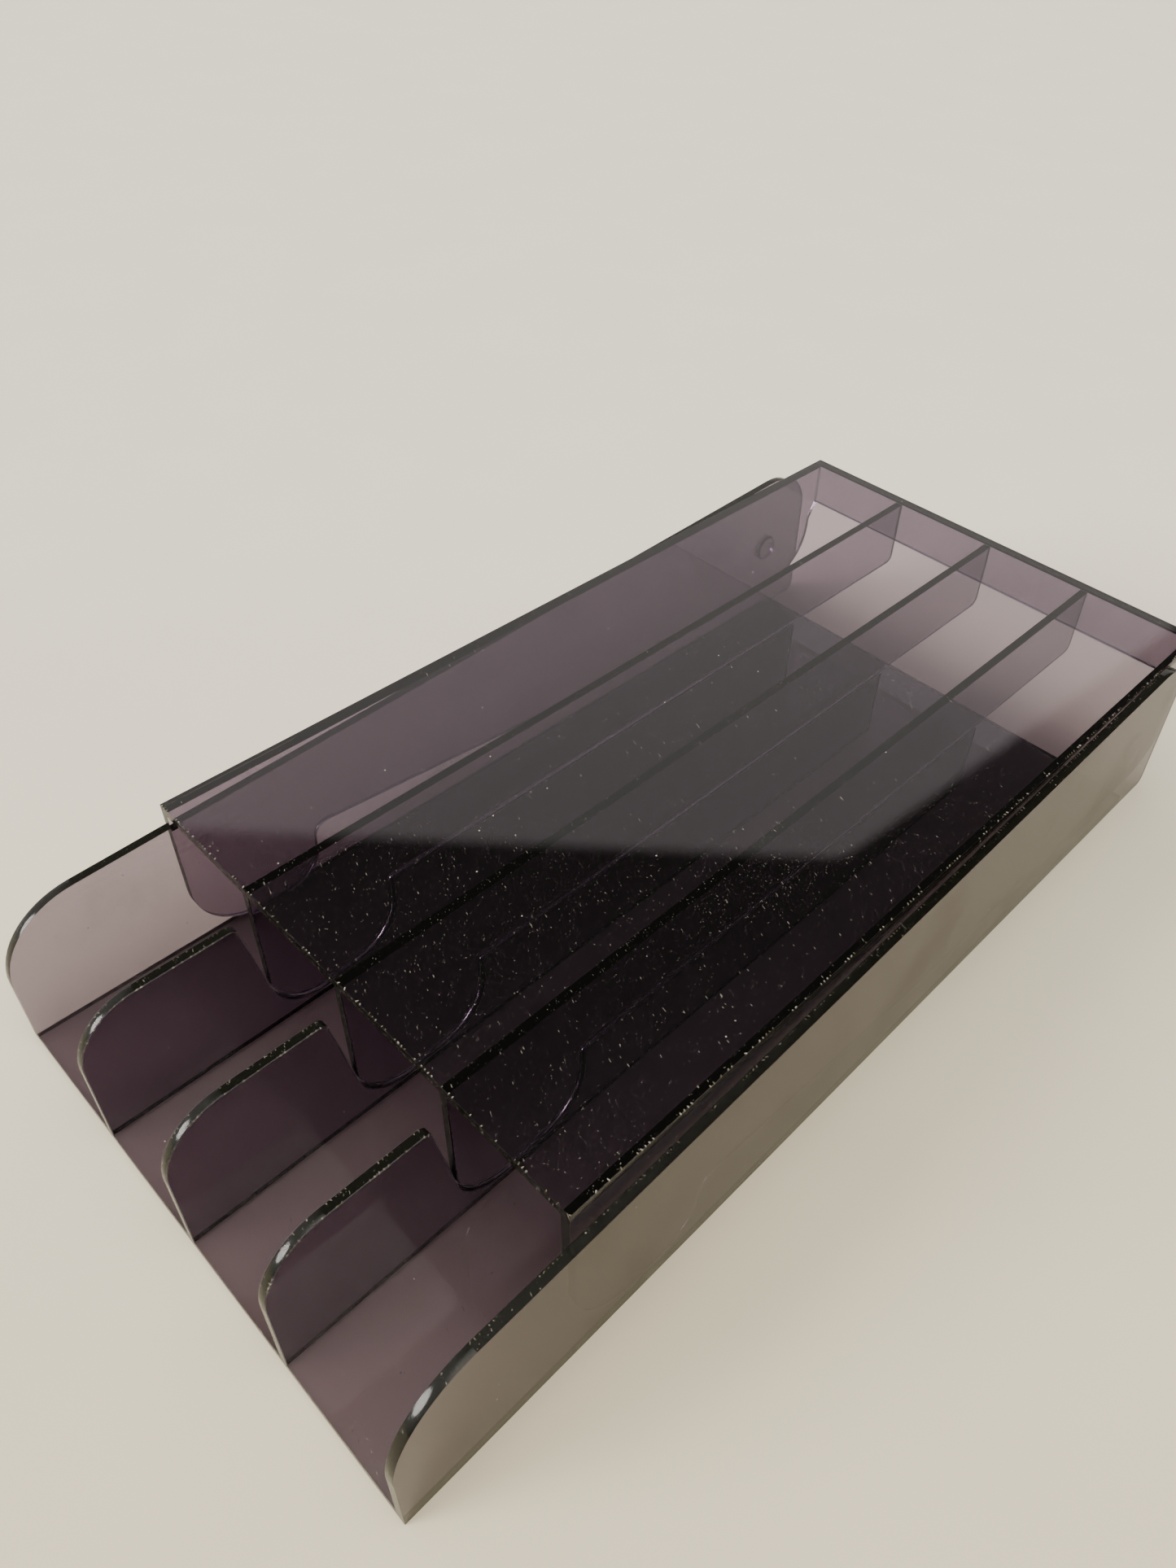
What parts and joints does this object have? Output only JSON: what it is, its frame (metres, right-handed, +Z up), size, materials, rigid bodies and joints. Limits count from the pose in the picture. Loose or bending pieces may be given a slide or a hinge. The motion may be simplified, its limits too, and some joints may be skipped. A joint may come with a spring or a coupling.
{
  "type": "hinged channel organiser",
  "caption": "Low smoked acrylic organiser box with an open front, parallel divider channels and a lid that swings up on pegs near the rear.",
  "frame": {"origin": "centre of the closed box's footprint, on the surface that it stands on", "axes": "+X across the box to the right seen from the open front, +Y from the open front to the rear, +Z up"},
  "size_m": [0.182, 0.365, 0.0632],
  "materials": {
    "smoked_acrylic": "polished faces, saw-cut edges",
    "acrylic_peg": "polished"
  },
  "bodies": {
    "base": {"base_plate": "smoked_acrylic", "base_wall_left": "smoked_acrylic", "base_wall_right": "smoked_acrylic", "base_divider_1": "smoked_acrylic", "base_divider_2": "smoked_acrylic", "base_divider_3": "smoked_acrylic", "pivot_peg_left": "acrylic_peg", "pivot_peg_right": "acrylic_peg"},
    "lid": {"lid_plate": "smoked_acrylic", "lid_rear_wall": "smoked_acrylic", "lid_wall_left": "smoked_acrylic", "lid_wall_right": "smoked_acrylic", "lid_divider_1": "smoked_acrylic", "lid_divider_2": "smoked_acrylic", "lid_divider_3": "smoked_acrylic"}
  },
  "joints": [
    {"name": "lid_pivot", "type": "hinge", "parent": "base", "child": "lid", "pos_m": [0, 0.1465, 0.0328], "axis": [-1, 0, 0], "range_deg": [0, 74]}
  ]
}
